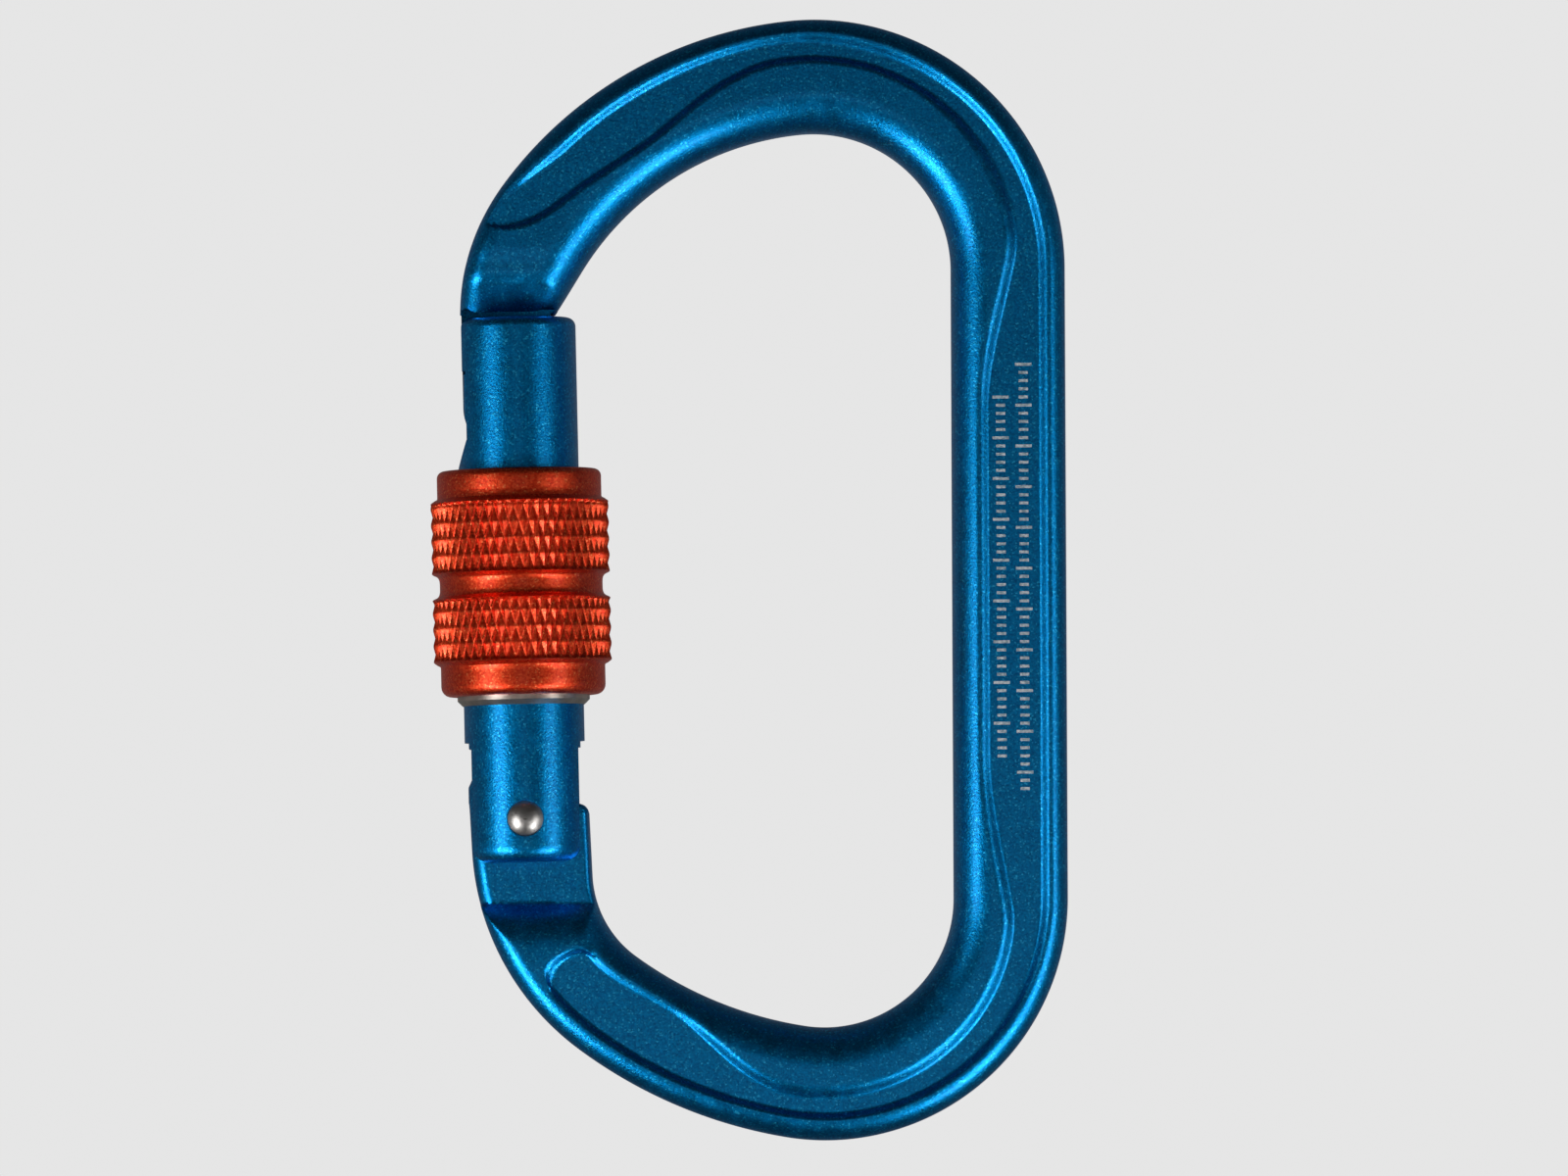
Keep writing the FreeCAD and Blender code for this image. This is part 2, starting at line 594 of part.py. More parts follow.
def gate():
    """The gate: a round bar with a slot for the nose, a fork for the hinge and a thread."""
    bar_round = primitive("Cylinder", "gate_bar", Radius="sizes.gate_dia / 2")
    bar_round.setExpression("Height", "sizes.gate_low + sizes.gate_high")
    bar_round.setExpression("Placement.Base.z", "-sizes.gate_low")
    doc.recompute()
    crowned = doc.addObject("Part::Fillet", "gate_crowned")
    crowned.Base = bar_round
    rims = []
    for n, edge in enumerate(bar_round.Shape.Edges, start=1):
        if edge.Closed:
            crown = cell("gate_crown") if edge.CenterOfMass.z > 0 else cell("fork_crown")
            rims.append((n, crown, crown))
    crowned.Edges = rims
    gap = "2 * sizes.nose_gap"
    beyond = "sizes.gate_dia"
    neck_slot = block(
        "neck_slot", f"-{beyond}", "sizes.neck_reach + sizes.nose_gap", f"sizes.neck_depth + {gap}",
        "sizes.flange_low + sizes.neck_lap / 2", "2 * sizes.gate_high",
    )
    high = disc_about_rivet("pocket_high", "sizes.flange_high + sizes.nose_gap", beyond)
    low = disc_about_rivet("pocket_low", "sizes.flange_low - sizes.nose_gap", f"2 * {beyond}")
    span = block(
        "pocket_span", f"-{beyond}", "sizes.flange_reach + sizes.nose_gap",
        f"sizes.flange_depth + {gap}", "sizes.flange_low / 2", "sizes.gate_high",
    )
    pocket = cut("nose_pocket", combined("MultiCommon", "pocket_sector", [high, span]), [low])
    slope = Rotation(Vector(0, 1, 0), cell("notch_slope"))
    start = Vector(-cell("gate_dia") / 2, 0, cell("notch_low"))
    corner = start + slope.multVec(Vector(-cell("bevel_wide"), 0, -cell("bevel_under")))
    across = f"sizes.flange_depth + {gap}"
    ramp = primitive(
        "Box", "notch_bevel", Placement(corner, slope),
        Length="sizes.bevel_wide", Width=across, Height="sizes.bevel_long",
    )
    ramp.setExpression("Placement.Base.y", f"-({across}) / 2")
    flats = [
        block(f"flat_{side}", left, right, f"2 * {beyond}", f"-{beyond}", "sizes.flats_high")
        for side, left, right in (
            ("outer", f"-{beyond}", "-sizes.gate_flats / 2"),
            ("inner", "sizes.gate_flats / 2", beyond),
        )
    ]
    fork = block(
        "fork_slot", f"-{beyond}", beyond, "sizes.fork_gap", f"-{beyond}", "sizes.fork_high"
    )
    pin_hole = disc_about_rivet("cheek_holes", "sizes.rivet_dia / 2", f"2 * {beyond}")
    seats = cut(
        "rivet_seats",
        disc_about_rivet("seat_disc", "sizes.rivet_head / 2 + sizes.seat_slack", f"2 * {beyond}"),
        [disc_about_rivet("seat_core", "sizes.rivet_head", "sizes.rivet_span")],
    )
    spring_bore = primitive("Cylinder", "spring_bore", Radius="sizes.bore_dia / 2")
    spring_bore.setExpression("Height", "sizes.bore_high - sizes.fork_high / 2")
    spring_bore.setExpression("Placement.Base.z", "sizes.fork_high / 2")
    core = cell("gate_dia") / 2 - cell("thread_deep")
    outside = cell("gate_dia") / 2 + cell("thread_proud")
    thread = thread_starts(
        "gate_thread", core, outside, 0, cell("thread_low"), cell("thread_high")
    )
    tools = [neck_slot, pocket, ramp, *flats, fork, pin_hole, seats, spring_bore, *thread]
    return set_at_hinge(cut("gate", crowned, tools))


# ---------------------------------------------------------------- what the gate carries


def lock_sleeve():
    """The screw sleeve: two gripping bands, a waist and plain end rings round a threaded bore."""
    low = cell("sleeve_low")
    high = low + cell("sleeve_long")
    plain, waist, grip = (cell(f"sleeve_{part}") / 2 for part in ("plain", "waist", "knurl"))
    bevel, waist_round = cell("band_bevel"), cell("waist_round")
    bore, nut = cell("sleeve_bore") / 2, cell("nut_dia") / 2
    mouth = cell("ring_dia") / 2 + cell("ring_slack")
    nut_low = low + cell("ring_held") + cell("ring_slack")
    nut_high = nut_low + cell("nut_long")
    profile = closed([
        (mouth, low, 0),
        (plain, low, cell("low_round")),
        (plain, low + LOW_BAND[0] - bevel, 0),
        (grip, low + LOW_BAND[0], 0),
        (grip, low + LOW_BAND[1], 0),
        (waist, low + LOW_BAND[1] + bevel, waist_round),
        (waist, low + HIGH_BAND[0] - bevel, waist_round),
        (grip, low + HIGH_BAND[0], 0),
        (grip, low + HIGH_BAND[1], 0),
        (plain, low + HIGH_BAND[1] + bevel, 0),
        (plain, high, cell("high_round")),
        (bore + bevel, high, 0),
        (bore, high - bevel, 0),
        (bore, nut_high, 0),
        (nut, nut_high, 0),
        (nut, nut_low, 0),
        (mouth, nut_low, 0),
    ])
    tip = cell("gate_dia") / 2 - cell("thread_deep") + cell("thread_slack")
    ridge_low, ridge_high = nut_low + cell("ridge_end"), nut_high - cell("ridge_end")
    ridges = thread_starts(
        "sleeve_thread", tip, nut + cell("ridge_sunk"), cell("thread_side"), ridge_low, ridge_high
    )
    return set_at_hinge(combined("MultiFuse", "lock_sleeve", [turned("sleeve", profile), *ridges]))


def sleeve_ring():
    """The steel ring that runs in the sleeve's mouth and keeps it on the gate."""
    inner = cell("gate_dia") / 2 + cell("ring_slack")
    outer = cell("ring_dia") / 2
    low = cell("sleeve_low") - cell("ring_shown")
    high = cell("sleeve_low") + cell("ring_held")
    profile = closed([
        (inner, low, 0),
        (outer - cell("ring_bevel"), low, 0),
        (outer, low + cell("ring_bevel"), 0),
        (outer, high, 0),
        (inner, high, 0),
    ])
    return set_at_hinge(turned("sleeve_ring", profile))


def gate_rivet():
    """The hinge rivet, with a low dome on both ends."""
    shank, head = cell("rivet_dia") / 2, cell("rivet_head") / 2
    seat, rise = cell("rivet_span") / 2, cell("dome_rise")
    radius = (head**2 + rise**2) / (2 * rise)
    tilt = math.degrees(math.asin(head / radius))
    centre = Vector(0, seat + rise - radius, 0)
    top = [centre + direction(90 - tilt * part) * radius for part in (1, 0.5, 0)]
    low = [Vector(p.x, -p.y, 0) for p in reversed(top)]
    profile = [(Part.Arc(*top), None), (Part.Arc(*low), None)]
    profile += rounded([
        (head, -seat, 0), (shank, -seat, 0), (shank, seat, 0), (head, seat, 0),
    ])
    profile.append((Part.LineSegment(low[0], top[2]), None))
    rivet = turned("gate_rivet", profile)
    rivet.Placement = Placement(Vector(), ALONG_Y)
    rivet.setExpression("Placement.Base.x", "sizes.hinge_x")
    rivet.setExpression("Placement.Base.z", "sizes.hinge_z")
    return rivet


def spring_plunger():
    """The plunger that the spring presses on the tongue's flat, with a stem inside the spring."""
    tip = cell("cam_height") + cell("seat_gap")
    head, stem = cell("plunger_dia") / 2, cell("plunger_stem") / 2
    seat = tip + cell("plunger_long")
    end = seat + cell("stem_long")
    profile = closed([
        (0, tip, 0),
        (head, tip, cell("plunger_round")),
        (head, seat, 0),
        (stem, seat, 0),
        (stem, end, cell("stem_round")),
        (0, end, 0),
    ])
    return set_at_hinge(turned("spring_plunger", profile))


def gate_spring():
    """The closing spring: a coil from the plunger's shoulder to the end of the gate's bore."""
    wire, radius, pitch = cell("wire_dia") / 2, cell("coil_dia") / 2, cell("coil_pitch")
    low = cell("cam_height") + cell("plunger_long") + wire + 2 * cell("seat_gap")
    high = cell("bore_high") - wire - cell("seat_gap")
    helix = Part.makeHelix(pitch, high - low, radius)
    section = Part.Wire(Part.makeCircle(wire, Vector(radius, 0, 0), Vector(0, 1, 0)))
    spring = doc.addObject("Part::Feature", "gate_spring")
    spring.Shape = Part.Wire(helix).makePipeShell([section], True, True)
    lean = Rotation(Vector(0, -1, 0), cell("gate_lean"))
    hinge = Placement(Vector(cell("hinge_x"), 0, cell("hinge_z")), lean)
    spring.Placement = hinge.multiply(Placement(Vector(0, 0, low), Rotation()))
    return spring


# ---------------------------------------------------------------- build, check and write

PIECES = (frame, gate, lock_sleeve, sleeve_ring, gate_rivet, spring_plunger, gate_spring)

nodes = {}
for make in PIECES:
    piece = make()
    piece.Label = make.__name__
    nodes[make.__name__] = piece
doc.recompute()

for thing in doc.Objects:
    if "Invalid" in thing.State or "Error" in thing.State:
        raise RuntimeError(f"{thing.Name} failed: {thing.State}")
for name, piece in nodes.items():
    shape = piece.Shape
    if shape.isNull() or not shape.isValid() or len(shape.Solids) != 1:
        raise RuntimeError(f"{name} isn't one valid solid")

os.makedirs("parts", exist_ok=True)
for name, piece in nodes.items():
    piece.Shape.exportStep(f"parts/{name}.step")
    print(name, round(piece.Shape.Volume, 1), "mm3", piece.Shape.BoundBox)
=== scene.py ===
import json
import math
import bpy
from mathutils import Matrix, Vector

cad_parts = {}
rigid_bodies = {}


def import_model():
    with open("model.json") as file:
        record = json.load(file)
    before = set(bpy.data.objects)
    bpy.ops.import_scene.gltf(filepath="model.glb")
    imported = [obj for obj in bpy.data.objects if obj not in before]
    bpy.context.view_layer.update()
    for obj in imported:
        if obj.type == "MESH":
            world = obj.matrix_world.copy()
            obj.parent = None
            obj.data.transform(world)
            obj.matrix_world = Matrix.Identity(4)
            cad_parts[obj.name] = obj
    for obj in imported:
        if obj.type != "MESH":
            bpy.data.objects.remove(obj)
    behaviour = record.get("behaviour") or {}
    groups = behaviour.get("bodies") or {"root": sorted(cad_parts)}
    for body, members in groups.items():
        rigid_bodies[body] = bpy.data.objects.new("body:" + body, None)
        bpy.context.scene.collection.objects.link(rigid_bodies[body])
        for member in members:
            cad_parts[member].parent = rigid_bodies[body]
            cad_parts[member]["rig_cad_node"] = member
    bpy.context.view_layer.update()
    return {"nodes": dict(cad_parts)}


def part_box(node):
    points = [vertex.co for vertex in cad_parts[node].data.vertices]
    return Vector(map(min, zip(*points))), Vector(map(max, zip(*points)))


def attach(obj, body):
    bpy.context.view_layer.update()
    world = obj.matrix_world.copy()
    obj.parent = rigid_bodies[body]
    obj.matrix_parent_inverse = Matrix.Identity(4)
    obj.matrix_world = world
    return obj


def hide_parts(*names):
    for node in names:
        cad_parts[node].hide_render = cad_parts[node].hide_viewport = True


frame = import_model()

from types import SimpleNamespace

import bmesh
import bpy
import numpy as np
from mathutils import Matrix, Vector

# The looks of a locking carabiner, round its CAD frame. Lengths are in millimetres up to the meshes,
# which are in metres. The frame lies in the XZ plane, its spine on +X and the gate on -X, and its
# front faces -Y.
MM = 0.001

# ---------------------------------------------------------------- the bar's sizes

HALF_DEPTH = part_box("frame")[1].y / MM
SPINE_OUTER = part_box("frame")[1].x / MM
BAR_WIDTH = 11.18
SPINE_INNER = SPINE_OUTER - BAR_WIDTH
SPINE_MIDDLE = -44.36
HALF_SPINE = 30.84
OUTER_ROUND, INNER_ROUND = 2.2, 3.9
HINGE_X, HINGE_Z = -28.4, -67.34
# how far along an edge, from the spine's middle, the bar has surely turned to the gate's side
GATE_SIDE = 60

# The neck of the nose: the faces dip from SCOOP_Z in an arc, then slope down to NECK_Z.
SCOOP_Z, NECK_Z = -13.2, -17.75
NECK_ARC, NECK_SLOPE = 3.0, 35
NECK_ROUND = 2.1

# The tongue: a flat recess above FOOT_Z, and below it a convex ramp out to the full bar.
TONGUE_HALF, FOOT_Z, FOOT_ROUND = 2.5, -75.7, 6.0
TONGUE_EDGES = 1.5, 0.8
# its outline above the bar's last station, from the rivet's axis: (height, left, right)
TONGUE_TOP = (
    (0.6, -5.54, 6.16), (0.95, -5.56, 6.06), (1.2, -5.58, 5.88), (1.4, -5.60, 5.6), (1.52, -5.62, 5.2),
    (1.6, -5.64, 4.45), (3.1, -5.66, 3.72), (3.9, -5.3, 3.3), (4.35, -4.75, 2.95), (4.6, -3.9, 2.3),
)
# top of the rounded lug on its inner side, and the first ring above that
LUG_TOP, ABOVE_LUG = 1.6, 1.9

# How softly the faces run into the neck and the tongue, and the height over which that sets in.
NECK_BLEND, TONGUE_BLEND, BLEND_RUN = 0.25, 0.12, 2

# The two halves of the bar. outer and inner are its edges from the end of the spine's straight, each
# step as (radius, degrees turned) or (length, 0). panel_out and panel_in are the panel's two lines, as
# (distance along the outer edge, inset from it). wall_out and wall_in are the widths of its walls, as
# (distances along the outer edge, widths there). The stations are square to the outer edge up to
# square_to, and the bar's faces end at end_z. Distances along start at the spine's middle.
TOP = SimpleNamespace(
    up=1,
    outer=((24.58, 95.6), (39.76, 48.2), (22.06, 36.0)),
    inner=((13.52, 95.7), (28.4, 52.6), (9.0, 0)),
    panel_out=((0, 2.3), (62, 2.25), (72, 1.9), (90, 2.3), (98, 2.3), (103.6, 1.4), (107, 0.4)),
    panel_in=(
        (0, 7.9), (17, 7.9), (36, 4.7), (73, 3.9), (92, 6.9), (101, 5.9), (104.6, 5.1), (107.2, 4.0),
        (108.9, 2.4), (109.8, 0.4),
    ),
    wall_out=((42, 58), (1.5, 1.5)),
    wall_in=((42, 58), (1.6, 0.95)),
    square_to=104.0,
    end_z=NECK_Z,
)
LOW = SimpleNamespace(
    up=-1,
    outer=((23.77, 99.7), (47.0, 27.2), (26.02, 50.0), (8.0, 0)),
    inner=((12.68, 99.1), (38.1, 27.2), (10.4, 51.0), (12.0, 0)),
    panel_out=((0, 2.3), (98, 2.5)),
    panel_in=((0, 7.9), (17, 7.9), (36, 5.3), (72, 4.4), (89, 8.3), (101, 7.6)),
    wall_out=((30, 50), (1.5, 0.95)),
    wall_in=((30, 50), (1.6, 1.6)),
    square_to=88.0,
    end_z=HINGE_Z + TONGUE_TOP[0][0],
)
PANEL_SUNK = 0.7
# The low panel ends in a wall across the bar, with rounded corners.
LOW_PANEL_END, END_WALL, END_CORNER = 102.7, 1.5, 2.2
# how much of a wall's curve is passed already at the panel's line
WALL_STEEP = 0.72

# ---------------------------------------------------------------- curves


def unit(degrees):
    """The direction at an angle from +X, in the plane of the bar."""
    angle = np.radians(degrees)
    return np.stack([np.cos(angle), np.sin(angle)], -1)


def step_length(size, turn):
    """Length of one step of an edge: an arc of that radius, or a straight where it doesn't turn."""
    return size * math.radians(turn) if turn else size


def chain(x, up, steps, at):
    """Points and headings in degrees at distances along one edge, from the spine's middle."""
    point, heading, done = np.array([x, SPINE_MIDDLE]), 90.0 * up, 0.0
    places = np.zeros((len(at), 2))
    headings = np.zeros(len(at))
    for size, turn in ((HALF_SPINE, 0), *steps):
        length = step_length(size, turn)
        along = np.append(np.clip(at - done, 0, length), length)
        if turn:
            way = heading + up * np.degrees(along / size)
            centre = point + size * unit(heading + 90 * up)
            here = centre - size * unit(way + 90 * up)
        else:
            way = np.full(len(along), heading)
            here = point + along[:, None] * unit(heading)
        reached = at >= done
        places[reached], headings[reached] = here[:-1][reached], way[:-1][reached]
        point, heading = here[-1], way[-1]
        done += length
    return places, headings


def smooth(t):
    """Eases from 0 to 1 as t goes from 0 to 1."""
    t = np.clip(t, 0, 1)
    return t * t * (3 - 2 * t)


def eased(knots, at):
    """A smooth curve through the knots, (place, value), that doesn't swing past any of them."""
    places, values = np.array(knots, float).T
    gaps = np.diff(places)
    rise = np.diff(values) / gaps
    agree = rise[:-1] * rise[1:] > 0
    total = np.where(agree, rise[:-1] + rise[1:], 1)
    slope = np.concatenate([[0], np.where(agree, 2 * rise[:-1] * rise[1:] / total, 0), [0]])
    at = np.clip(at, places[0], places[-1])
    n = np.clip(np.searchsorted(places, at) - 1, 0, len(gaps) - 1)
    t = (at - places[n]) / gaps[n]
    bend = slope[n] * gaps[n] * t * (1 - t) ** 2 - slope[n + 1] * gaps[n] * t**2 * (1 - t)
    return values[n] + (values[n + 1] - values[n]) * smooth(t) + bend


def fall(along, radius):
    """How far an arc has fallen below its crest, at a distance along from it."""
    return radius - np.sqrt(np.maximum(radius**2 - along**2, 0))


def drop(distance, radius):
    """How far a rounding of that radius falls below the face, at a distance from the bar's edge."""
    return fall(np.clip(radius - distance, 0, radius), radius)


def wall(inside, width):
    """How far a panel has sunk, 0 to 1: rounded over at the crest and steepest near its foot."""
    t = np.clip(inside / width + WALL_STEEP, 0, 1)
    return t**3 * (4 - 3 * t)


def soft_min(a, b, width):
    """The smaller of the two, with the corner between them rounded over about that width."""
    return (a + b - np.sqrt((a - b) ** 2 + width**2)) / 2


# ---------------------------------------------------------------- the bar's faces


def neck_height(z):
    """Half the thickness where both faces turn in an arc to a straight slope down to the neck."""
    slope = math.radians(NECK_SLOPE)
    down = np.clip(SCOOP_Z - z, 0, SCOOP_Z - NECK_Z)
    turned = np.minimum(down, NECK_ARC * math.sin(slope))
    return HALF_DEPTH - fall(turned, NECK_ARC) - (down - turned) * math.tan(slope)


def tongue_height(z, outer, inner):
    """Half the thickness beside the fork: a flat recess with rounded edges, then a convex ramp."""
    rise = math.sqrt(FOOT_ROUND**2 - (TONGUE_HALF - HALF_DEPTH + FOOT_ROUND) ** 2)
    up = np.clip(z - (FOOT_Z - rise), 0, rise)
    ramp = HALF_DEPTH - fall(up, FOOT_ROUND)
    recess = TONGUE_HALF - drop(outer, TONGUE_EDGES[0]) - drop(inner, TONGUE_EDGES[1])
    return np.where(z >= FOOT_Z, recess, np.maximum(ramp, recess))


def face_height(half, along, outer, inner, z):
    """A face's height above the middle plane; outer and inner are distances from the edges."""
    full = HALF_DEPTH - drop(outer, OUTER_ROUND) - drop(inner, INNER_ROUND)
    from_outer = outer - eased(half.panel_out, along)
    from_inner = eased(half.panel_in, along) - outer
    sunk = wall(from_outer, np.interp(along, *half.wall_out))
    sunk = sunk * wall(from_inner, np.interp(along, *half.wall_in))
    if half is LOW:
        corner = drop(np.minimum(from_outer, from_inner), END_CORNER)
        sunk = sunk * wall(LOW_PANEL_END - corner - along, END_WALL)
    height = full * (1 - sunk) + np.minimum(full, HALF_DEPTH - PANEL_SUNK) * sunk
    if along[0] < GATE_SIDE:
        return height
    if half is TOP:
        neck = neck_height(z) - drop(outer, NECK_ROUND) - drop(inner, NECK_ROUND)
        return soft_min(height, neck, NECK_BLEND * smooth((SCOOP_Z + BLEND_RUN - z) / BLEND_RUN))
    blend = TONGUE_BLEND * smooth((z - FOOT_Z + FOOT_ROUND) / BLEND_RUN)
    return soft_min(height, tongue_height(z, outer, inner), blend)


# spacing of an edge's points, and what keeps a share of no length finite
EDGE_STEP, NOT_ZERO = 0.1, 1e-12


class Edge:
    """One edge of the bar as a fine polyline, up to a height on the gate's side."""

    def __init__(self, x, up, steps, end_z):
        whole = HALF_SPINE + sum(step_length(*step) for step in steps)
        self.at = np.arange(0, whole, EDGE_STEP)
        self.points, heading = chain(x, up, steps, self.at)
        self.way = unit(heading)
        self.inward = up * np.stack([-self.way[:, 1], self.way[:, 0]], 1)
        side = self.at > GATE_SIDE
        self.end = np.interp(-up * end_z, -up * self.points[side, 1], self.at[side])

    def point(self, at):
        return np.stack([np.interp(at, self.at, self.points[:, n]) for n in (0, 1)], -1)

    def normal(self, at):
        return np.stack([np.interp(at, self.at, self.inward[:, n]) for n in (0, 1)], -1)

    def measure(self, points):
        """How far along the edge each point is, and how far in from it."""
        apart = points[:, None] - self.points[None]
        near = np.argmin((apart**2).sum(2), 1)
        gap = points - self.points[near]
        return self.at[near] + (gap * self.way[near]).sum(1), np.abs((gap * self.inward[near]).sum(1))

    def facing(self, points, inward):
        """Where the lines from the points, along their inward normals, meet this edge."""
        apart = self.points[None] - points[:, None]
        aside = apart[..., 0] * inward[:, None, 1] - apart[..., 1] * inward[:, None, 0]
        ahead = (apart * inward[:, None]).sum(2)
        crossed = (aside[:, :-1] * aside[:, 1:] <= 0) & (ahead[:, 1:] > 0)
        first = np.argmin(np.where(crossed, ahead[:, 1:], np.inf), 1)
        rows = np.arange(len(points))
        before, after = np.abs(aside[rows, first]), np.abs(aside[rows, first + 1])
        gap = self.at[first + 1] - self.at[first]
        return self.at[first] + gap * before / (before + after + NOT_ZERO)


# Stations along the bar: coarse on the straight spine, then fine.
FINE_FROM, COARSE_STEP, FINE_STEP = 16, 1.0, 0.25
# Samples across it: the zones about the panel's two walls, the second from the panel's inner line and
# with that line kept in a range, and the number of samples in each stretch.
OUTER_ZONE, INNER_ZONE = (1.0, 3.0), (-0.6, 1.4)
INNER_LINE_RANGE = 4.4, 8.6
EDGE_COUNT, WALL_COUNT, FLOOR_COUNT, ROUND_COUNT = 9, 19, 7, 23


def across(line, width):
    """Distances from the outer edge at which each station's face is sampled, dense where it turns."""
    line, width = line[:, None], width[:, None]
    edge = OUTER_ZONE[0] * (1 - np.cos(np.linspace(0, math.pi / 2, EDGE_COUNT)))[None, :-1]
    wall_out = np.linspace(*OUTER_ZONE, WALL_COUNT)[None, :-1]
    floor_wide = line + INNER_ZONE[0] - OUTER_ZONE[1]
    floor = OUTER_ZONE[1] + floor_wide * np.linspace(0, 1, FLOOR_COUNT)[None, :-1]
    wall_in = line + np.linspace(*INNER_ZONE, WALL_COUNT)[None, :-1]
    round_wide = width - line - INNER_ZONE[1]
    rest = round_wide * (1 - np.cos(np.linspace(math.pi / 2, 0, ROUND_COUNT)))[None, :]
    rows = np.zeros_like(line)
    return np.concatenate([rows + edge, rows + wall_out, floor, wall_in, width - rest], 1)


def half_frame(half):
    """Rings of points over the back face of half the bar, from the spine's middle to its end."""
    outer_edge = Edge(SPINE_OUTER, half.up, half.outer, half.end_z)
    inner_edge = Edge(SPINE_INNER, half.up, half.inner, half.end_z)
    coarse = np.arange(0, FINE_FROM, COARSE_STEP)
    count = round((outer_edge.end - FINE_FROM) / FINE_STEP)
    along = np.concatenate([coarse, np.linspace(FINE_FROM, outer_edge.end, count + 1)])
    start = outer_edge.point(along)
    normal = outer_edge.normal(along)
    square = along <= half.square_to
    facing = inner_edge.facing(start[square], normal[square])
    share = (along[~square] - along[square][-1]) / (outer_edge.end - along[square][-1])
    facing = np.concatenate([facing, facing[-1] + (inner_edge.end - facing[-1]) * share])
    run = inner_edge.point(facing) - start
    width = np.linalg.norm(run, axis=1)
    way = run / width[:, None]
    line = np.clip(eased(half.panel_in, along), *INNER_LINE_RANGE) / (way * normal).sum(1)
    at = across(line, width)
    flat = start[:, None] + at[..., None] * way[:, None]
    rings = []
    for row in flat:
        along_outer, outer = outer_edge.measure(row)
        _, inner = inner_edge.measure(row)
        height = face_height(half, along_outer, outer, inner, row[:, 1])
        rings.append(np.stack([row[:, 0], height, row[:, 1]], 1))
    return np.array(rings)


def tongue_rings(last):
    """Level rings from the bar's last one up to the top of the tongue, inside the gate's fork."""
    rows = np.array(TONGUE_TOP)
    count = 12
    heights = np.concatenate([
        np.linspace(rows[0, 0], LUG_TOP, count), np.linspace(ABOVE_LUG, rows[-1, 0], count),
    ])
    left = HINGE_X + np.interp(heights, rows[:, 0], rows[:, 1])
    right = HINGE_X + np.interp(heights, rows[:, 0], rows[:, 2])
    share = (last[:, 0] - last[0, 0]) / (last[-1, 0] - last[0, 0])
    x = left[:, None] + (right - left)[:, None] * share[None, :]
    z = np.repeat(HINGE_Z + heights[:, None], len(share), 1)
    y = TONGUE_HALF - drop(x - left[:, None], TONGUE_EDGES[0]) - drop(right[:, None] - x, TONGUE_EDGES[1])
    return np.stack([x, y, z], 2)


def frame_mesh():
    """One closed skin: the back face, its mirror image in front and strips down both edges."""
    top = half_frame(TOP)
    low = half_frame(LOW)
    low = np.concatenate([low, tongue_rings(low[-1])])
    whole = np.concatenate([low[:0:-1], top])
    steps = 4
    stations, count, _ = whole.shape
    rings = []
    for back in whole:
        front = back * np.array([1, -1, 1])
        inner = [front[-1] + (back[-1] - front[-1]) * n / steps for n in range(1, steps)]
        outer = [back[0] + (front[0] - back[0]) * n / steps for n in range(1, steps)]
        rings.append(np.concatenate([front, inner, back[::-1], outer]))
    points = np.array(rings)
    around = points.shape[1]
    faces = []
    for row in range(stations - 1):
        for n in range(around):
            a, b = row * around + n, row * around + (n + 1) % around
            faces.append((a, b, b + around, a + around))
    for row, flip in ((0, False), (stations - 1, True)):
        base = row * around
        behind = base + 2 * count + steps - 2
        for n in range(count - 1):
            cap = (base + n, base + n + 1, behind - n - 1, behind - n)
            faces.append(cap if flip else cap[::-1])
        strips = (
            [base + count - 1 + n for n in range(steps + 1)],
            [behind + n for n in range(steps)] + [base],
        )
        faces += [strip if flip else strip[::-1] for strip in strips]
    return points.reshape(-1, 3), faces


# ---------------------------------------------------------------- pieces

LEAN = math.radians(1.05)
# from the gate's own frame, with the rivet's axis at its origin and its Z up the gate
TO_HINGE = Matrix.Translation((HINGE_X * MM, 0, HINGE_Z * MM)) @ Matrix.Rotation(-LEAN, 4, "Y")


def piece(name, points, faces, body, node=None, sharp=40):
    """A mesh object that rides on a body and, where a node is given, stands for it."""
    mesh = bpy.data.meshes.new(name)
    mesh.from_pydata([tuple(p) for p in np.asarray(points) * MM], [], faces)
    mesh.validate()
    mesh.shade_smooth()
    mesh.set_sharp_from_angle(angle=math.radians(sharp))
    thing = bpy.data.objects.new(name, mesh)
    bpy.context.scene.collection.objects.link(thing)
    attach(thing, body)
    if node:
        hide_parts(node)
    return thing


# The nose is what the CAD frame has below the neck, above NOSE_LOW and on the gate's side of NOSE_IN.
NOSE_LAP, NOSE_LOW, NOSE_IN = 0.4, -40, -20
# Its outer side, from the gate's axis, curves in below NOSE_CURVE_TOP, on these levels.
NOSE_SIDE, NOSE_CURVE, NOSE_CURVE_TOP = 5.27, 4.4, 40.4
NOSE_LEVELS = (38.4, 38.9, 39.4, 39.9, 40.3)
# half-thickness of the flange and of the neck, in the CAD node and here
NOSE_HALVES = ((2.8, 3.02), (2.2, 2.42))
# how near a point is to such a face, and to another point that it is merged with
NOSE_NEAR, NOSE_MERGE = 0.02, 0.0001
NOSE_SHARP = 30


